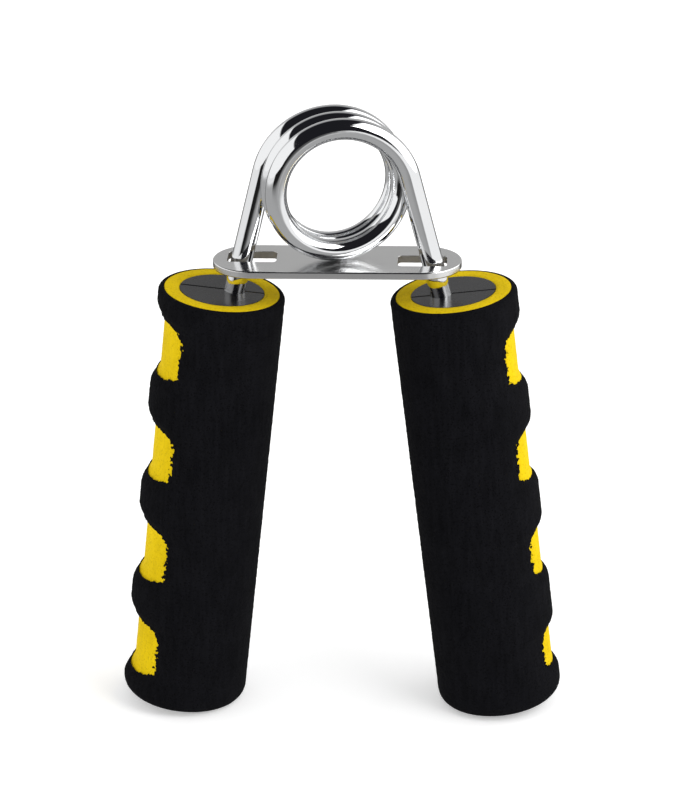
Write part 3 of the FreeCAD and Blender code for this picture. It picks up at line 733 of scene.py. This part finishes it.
def gloss_plastic():
    """Moulded plug: near-black, glossy, with a faint moulding texture."""
    mat, tree, bsdf = material("glossy_black_moulding")
    at = object_coords(tree, (1, 1, 1))
    cloud = noise_tex(tree, at, 260.0, 3.0)
    tree.links.new(
        two_colours(tree, cloud, (0.006, 0.006, 0.008), (0.012, 0.012, 0.014)),
        bsdf.inputs["Base Color"],
    )
    tree.links.new(remap(tree, cloud, 0.3, 0.7, 0.22, 0.3), bsdf.inputs["Roughness"])
    bsdf.inputs["Specular IOR Level"].default_value = 0.4
    bump(tree, bsdf, noise_tex(tree, at, 700.0, 2.0), 0.05, 0.0002)
    return mat


def foam(name, turn, dark, light, pore_shade, streak, spec, pore_scale, strength):
    """Soft closed-cell foam: pores whose pits carry painted shade, a fine fuzz, and faint streaks along the sleeve.
    """
    mat, tree, bsdf = material(name)
    at = object_coords(tree, (1, 1, 1), turn)
    long = object_coords(tree, (1, 1, 0.12), turn)
    lines = noise_tex(tree, long, 900.0, 3.0, 0.6)
    cloud = noise_tex(tree, at, 120.0, 4.0, 0.55)
    tone = math_node(
        tree,
        "ADD",
        math_node(tree, "MULTIPLY", remap(tree, lines, 0.35, 0.7, 0, 1), streak),
        math_node(tree, "MULTIPLY", remap(tree, cloud, 0.3, 0.7, 0, 1), 1 - streak),
    )
    cells = tree.nodes.new("ShaderNodeTexVoronoi")
    cells.feature = "F1"
    cells.inputs["Scale"].default_value = pore_scale
    tree.links.new(at, cells.inputs["Vector"])
    depth = remap(tree, cells.outputs["Distance"], 0.0, 0.45, 0.0, 1.0, True)
    colour = two_colours(tree, tone, dark, light)
    # painted shade: the colour darkens to the pore shade colour at each pore's pit, where the bump sinks
    mix = tree.nodes.new("ShaderNodeMix")
    mix.data_type = "RGBA"
    tree.links.new(remap(tree, depth, 0.0, 1.0, 1.0, 0.0), mix.inputs["Factor"])
    tree.links.new(colour, mix.inputs["A"])
    mix.inputs["B"].default_value = (*pore_shade, 1)
    tree.links.new(mix.outputs["Result"], bsdf.inputs["Base Color"])
    bsdf.inputs["Roughness"].default_value = 0.92
    bsdf.inputs["Specular IOR Level"].default_value = spec
    fine = noise_tex(tree, at, 2600.0, 3.0, 0.7)
    height = math_node(
        tree,
        "ADD",
        math_node(tree, "MULTIPLY", depth, 0.5),
        math_node(tree, "ADD", math_node(tree, "MULTIPLY", fine, 0.5), math_node(tree, "MULTIPLY", lines, 0.25)),
    )
    bump(tree, bsdf, height, strength, 0.0006)
    return mat


# ---------------------------------------------------------------- build

coil = make_coil()
left_leg, right_leg = make_legs()
plate = make_plate()
blacks = {side: make_black(side) for side in (-1, 1)}
yellows = {side: make_yellow(side) for side in (-1, 1)}

chrome_mat = chrome()
plate_mat = plate_steel()
sheared_mat = sheared_steel()
plastic_mat = gloss_plastic()
foam_mats = {}
for side in (-1, 1):
    lean = (0.0, -TILT * side * -1, 0.0)
    foam_mats[side] = (
        foam(
            LOOK[side]["name"] + "_black_foam_skin", lean,
            # dark, light, then the painted shade in the pore pits
            (0.0026, 0.0026, 0.0036), (0.0062, 0.0062, 0.0080), (0.0014, 0.0014, 0.0018),
            0.55, 0.07, 1500.0, 0.55,
        ),
        foam(
            LOOK[side]["name"] + "_yellow_foam_skin", lean,
            # dark, light, then the painted shade in the pore pits
            (0.62, 0.435, 0.002), (0.78, 0.56, 0.004), (0.54, 0.37, 0.0018),
            0.3, 0.08, 1300.0, 0.4,
        ),
    )

for piece, mat in (
    (coil, chrome_mat),
    (left_leg, chrome_mat),
    (right_leg, chrome_mat),
    (plate, plate_mat),
    (blacks[-1], foam_mats[-1][0]),
    (blacks[1], foam_mats[1][0]),
    (yellows[-1], foam_mats[-1][1]),
    (yellows[1], foam_mats[1][1]),
):
    piece.data.materials.append(mat)
plate.data.materials.append(sheared_mat)

for name in ("left_core_front", "left_core_rear", "right_core_front", "right_core_rear"):
    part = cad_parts[name]
    if part.material_slots:
        for slot in part.material_slots:
            slot.material = plastic_mat
    else:
        part.data.materials.append(plastic_mat)

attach(coil, "root")
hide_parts("spring_coil")
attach(plate, "root")
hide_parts("guide_plate")
for side, leg in ((-1, left_leg), (1, right_leg)):
    name = LOOK[side]["name"]
    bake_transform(leg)
    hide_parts(name + "_spring_leg")
    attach(blacks[side], name + "_handle")
    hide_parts(name + "_outer_sleeve")
    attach(yellows[side], name + "_handle")
    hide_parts(name + "_inner_sleeve")

# ---------------------------------------------------------------- stage, light, camera

scene = bpy.context.scene

floor_data = bpy.data.meshes.new("floor")
floor_data.from_pydata(
    [(-4, -4, -2e-5), (4, -4, -2e-5), (4, 4, -2e-5), (-4, 4, -2e-5)], [], [(0, 1, 2, 3)]
)
floor = bpy.data.objects.new("floor", floor_data)
scene.collection.objects.link(floor)
floor_mat, floor_tree, floor_bsdf = material("pale_floor")
floor_bsdf.inputs["Base Color"].default_value = (0.9, 0.9, 0.9, 1)
floor_bsdf.inputs["Roughness"].default_value = 1.0
floor_bsdf.inputs["Specular IOR Level"].default_value = 0.0
floor_bsdf.inputs["Emission Color"].default_value = (1, 1, 1, 1)
floor_bsdf.inputs["Emission Strength"].default_value = 0.35
# Mirrored in the metal, the floor shows a painted reflection: an emission seen only by glossy rays, dimmer than the
# floor itself. It is painted bright far off to the sides and near the right panel, fades out towards the camera, is
# painted near-black where the dark room left of the camera would be, and carries a painted shadow behind the
# object, which draws the thin dark line along the chrome's outlines.
painted_floor_reflection = floor_tree.nodes.new("ShaderNodeEmission")
spot = floor_tree.nodes.new("ShaderNodeTexCoord")
far = floor_tree.nodes.new("ShaderNodeVectorMath")
far.operation = "LENGTH"
floor_tree.links.new(spot.outputs["Object"], far.inputs[0])
apart = floor_tree.nodes.new("ShaderNodeSeparateXYZ")
floor_tree.links.new(spot.outputs["Object"], apart.inputs[0])
FX, FY = apart.outputs["X"], apart.outputs["Y"]
ahead = math_node(floor_tree, "MAXIMUM", math_node(floor_tree, "MULTIPLY", FY, -1.0), 0.001)
aside = math_node(floor_tree, "DIVIDE", FX, ahead)
behind = math_node(floor_tree, "MAXIMUM", FY, 0.001)
across = math_node(floor_tree, "DIVIDE", math_node(floor_tree, "ABSOLUTE", FX), behind)


def mask(*parts):
    out = parts[0]
    for part in parts[1:]:
        out = math_node(floor_tree, "MULTIPLY", out, part)
    return out


def cover(base, where, value):
    keep = math_node(floor_tree, "MULTIPLY", base, math_node(floor_tree, "SUBTRACT", 1.0, where))
    return math_node(floor_tree, "ADD", keep, math_node(floor_tree, "MULTIPLY", where, value))


# painted reflection of the floor: dimmer close by, brighter far off
painted_reflection_level = remap(floor_tree, far.outputs["Value"], 0.6, 1.3, 0.39, 0.85, True)
# painted shade in the reflected floor in front of the object, towards the camera
painted_reflection_level = cover(
    painted_reflection_level,
    mask(
        remap(floor_tree, ahead, 0.19, 0.75, 0, 1, True),
        remap(floor_tree, aside, -0.9, -0.74, 0, 1, True),
        remap(floor_tree, aside, 0.3, 0.5, 1, 0, True),
    ),
    0.09,
)
# painted near-black where the reflected floor meets the dark room left of the camera
painted_reflection_level = cover(
    painted_reflection_level,
    mask(
        remap(floor_tree, ahead, 0.30, 0.60, 0, 1, True),
        remap(floor_tree, aside, -0.88, -0.76, 0, 1, True),
        remap(floor_tree, aside, -0.10, 0.18, 1, 0, True),
    ),
    0.012,
)
# painted bright reflection of the floor near the right panel, in two patches
painted_reflection_level = cover(
    painted_reflection_level,
    mask(
        remap(floor_tree, ahead, 0.27, 0.36, 0, 1, True),
        remap(floor_tree, aside, 0.34, 0.46, 0, 1, True),
    ),
    0.95,
)
painted_reflection_level = cover(
    painted_reflection_level,
    mask(
        remap(floor_tree, FX, 0.16, 0.34, 0, 1, True),
        remap(floor_tree, aside, 0.34, 0.46, 0, 1, True),
    ),
    0.95,
)
# painted shadow in the reflected floor behind the object, which draws the chrome's thin dark outlines
painted_reflection_level = cover(
    painted_reflection_level,
    mask(
        remap(floor_tree, behind, 0.10, 0.24, 0, 1, True),
        remap(floor_tree, across, 0.85, 1.25, 1, 0, True),
    ),
    0.12,
)
floor_tree.links.new(painted_reflection_level, painted_floor_reflection.inputs["Strength"])
choose = floor_tree.nodes.new("ShaderNodeMixShader")
ray = floor_tree.nodes.new("ShaderNodeLightPath")
floor_tree.links.new(ray.outputs["Is Glossy Ray"], choose.inputs["Fac"])
floor_tree.links.new(floor_bsdf.outputs["BSDF"], choose.inputs[1])
floor_tree.links.new(painted_floor_reflection.outputs["Emission"], choose.inputs[2])
floor_tree.links.new(
    choose.outputs["Shader"], floor_tree.nodes["Material Output"].inputs["Surface"]
)
floor_data.materials.append(floor_mat)

# The studio: a tall bright panel on the right, a lower soft wall on the left, a dimmer wall
# behind, and a dark room above and behind the camera. Each is a shape in the direction X, Y, Z.
world = bpy.data.worlds.new("studio")
scene.world = world
world.use_nodes = True
wt = world.node_tree
back = wt.nodes["Background"]
coord = wt.nodes.new("ShaderNodeTexCoord")
split = wt.nodes.new("ShaderNodeSeparateXYZ")
wt.links.new(coord.outputs["Generated"], split.inputs[0])
DX, DY, DZ = split.outputs["X"], split.outputs["Y"], split.outputs["Z"]


def over(a, b):
    """a / b, with b kept above zero."""
    return math_node(wt, "DIVIDE", a, math_node(wt, "MAXIMUM", b, 0.001))


def below(value, edge, soft):
    return remap(wt, value, edge - soft, edge + soft, 1, 0, True)


def times(*values):
    out = values[0]
    for v in values[1:]:
        out = math_node(wt, "MULTIPLY", out, v)
    return out


west = math_node(wt, "MULTIPLY", DX, -1.0)
south = math_node(wt, "MULTIPLY", DY, -1.0)
in_right = times(
    below(over(DZ, DX), 2.1, 0.25),
    below(over(south, DX), 0.93, 0.12),
    below(over(DY, DX), 0.95, 0.2),
    below(west, 0.0, 0.01),
)
in_left = times(
    below(over(DZ, west), 1.0, 0.04),
    below(over(south, west), 3.6, 0.5),
    below(DX, 0.0, 0.01),
    below(over(DY, west), 1.1, 0.5),
)
in_back = times(
    below(over(DZ, DY), 1.1, 0.5),
    below(south, 0.0, 0.05),
)
behind_low = times(in_back, below(DZ, 0.22, 0.12))
level = math_node(wt, "ADD", times(in_back, 0.42), times(behind_low, 0.2))


def lay(base, mask, value):
    """base where mask is 0, value where it is 1."""
    keep = math_node(wt, "MULTIPLY", base, math_node(wt, "SUBTRACT", 1.0, mask))
    return math_node(wt, "ADD", keep, math_node(wt, "MULTIPLY", mask, value))


level = math_node(wt, "MAXIMUM", level, 0.013)
level = lay(level, in_left, 0.98)
level = lay(level, in_right, 1.9)
# soft fill for the foam and the floor, which mirror nothing
path = wt.nodes.new("ShaderNodeLightPath")
filled = math_node(
    wt, "ADD", math_node(wt, "MULTIPLY", math_node(wt, "MINIMUM", level, 1.45), 0.9), 0.55
)
strength = lay(level, path.outputs["Is Diffuse Ray"], filled)
wt.links.new(strength, back.inputs["Strength"])
# the dark room is a little blue in the mirror
plain = math_node(
    wt, "MAXIMUM", remap(wt, level, 0.02, 0.2, 0, 1), path.outputs["Is Diffuse Ray"]
)
wt.links.new(two_colours(wt, plain, (0.95, 0.95, 1.17), (1, 1, 1)), back.inputs["Color"])


def area(name, place, aim, size, power):
    data = bpy.data.lights.new(name, "AREA")
    data.shape = "RECTANGLE"
    data.size, data.size_y = size
    data.energy = power
    obj = bpy.data.objects.new(name, data)
    obj.location = place
    obj.rotation_mode = "QUATERNION"
    obj.rotation_quaternion = (Vector(aim) - Vector(place)).to_track_quat("-Z", "Y")
    scene.collection.objects.link(obj)
    return obj


area("key_softbox", (0.7, -0.5, 0.75), (0, 0, 0.08), (0.5, 0.5), 3.0)

view = np.array((-0.04807, 0.92647, -0.37331))
right = np.array((math.cos(math.radians(-2.97)), -math.sin(math.radians(-2.97)), 0.0))
upward = np.cross(right, view)
roll = math.radians(-0.62)
cam_x = math.cos(roll) * right + math.sin(roll) * upward
cam_y = -math.sin(roll) * right + math.cos(roll) * upward
place = np.array((0, 0, 97.8)) - 900 * view
cam_data = bpy.data.cameras.new("camera")
cam_data.sensor_width = 36.0
cam_data.lens = 153.9
cam_data.shift_x = 0.01464
cam_data.shift_y = -0.04744
cam_data.clip_start, cam_data.clip_end = 0.01, 20.0
camera = bpy.data.objects.new("camera", cam_data)
scene.collection.objects.link(camera)
matrix = Matrix.Identity(4)
for row in range(3):
    matrix[row][0] = cam_x[row]
    matrix[row][1] = cam_y[row]
    matrix[row][2] = -view[row]
    matrix[row][3] = place[row] * MM
camera.matrix_world = matrix
scene.camera = camera
scene.view_settings.view_transform = "Standard"

bpy.context.view_layer.update()
